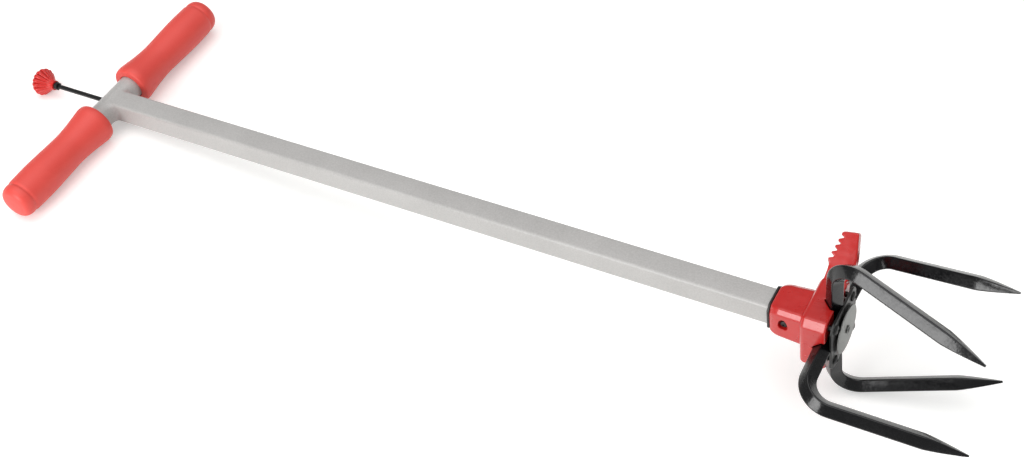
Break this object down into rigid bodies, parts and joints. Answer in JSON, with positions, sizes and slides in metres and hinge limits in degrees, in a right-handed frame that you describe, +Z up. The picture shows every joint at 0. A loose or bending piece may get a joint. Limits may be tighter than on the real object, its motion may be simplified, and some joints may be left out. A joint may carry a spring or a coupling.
{
  "type": "garden cultivator",
  "caption": "Long hand cultivator with a T-handle, square shaft, toothed foot pedal, bent tines and a sliding disc that ejects soil.",
  "frame": {"origin": "on the floor, under the middle of the tool as it lies on both grips and its lowest tine", "axes": "+X along the tool from the knob towards the points of the tines, +Y along the handle, +Z up"},
  "size_m": [1.1122, 0.342, 0.1831],
  "materials": {
    "silver_grey_paint": "satin silver-grey powder coat on steel tube",
    "red_grip_plastic": "matte red moulded plastic",
    "red_gloss_enamel": "glossy red enamel on a casting",
    "black_enamel": "glossy black enamel on steel bar",
    "black_nylon": "black nylon",
    "zinc_plated_steel": "dull zinc-plated steel"
  },
  "bodies": {
    "frame": {"shaft_tube": "silver_grey_paint", "handle_bar": "silver_grey_paint", "handle_weld": "silver_grey_paint", "grip_near": "red_grip_plastic", "grip_far": "red_grip_plastic", "foot_socket": "red_gloss_enamel", "tine_1": "black_enamel", "tine_2": "black_enamel", "tine_3": "black_enamel", "tine_4": "black_enamel", "clamp_plate": "black_enamel", "clamp_bolt_1": "black_enamel", "clamp_bolt_2": "black_enamel", "clamp_bolt_3": "black_enamel", "clamp_bolt_4": "black_enamel", "socket_screw": "black_enamel", "rod_guide_top": "black_nylon", "rod_guide_bottom": "black_nylon", "socket_collar": "black_nylon"},
    "ejector": {"ejector_rod": "black_enamel", "ejector_knob": "red_grip_plastic", "knob_nut": "black_nylon", "ejector_disc": "zinc_plated_steel", "disc_collar": "zinc_plated_steel", "disc_nut": "zinc_plated_steel"}
  },
  "joints": [
    {"name": "ejector_slide", "type": "slide", "parent": "frame", "child": "ejector", "axis": [0.9969, 0, 0.0781], "range_m": [0, 0.068]}
  ]
}
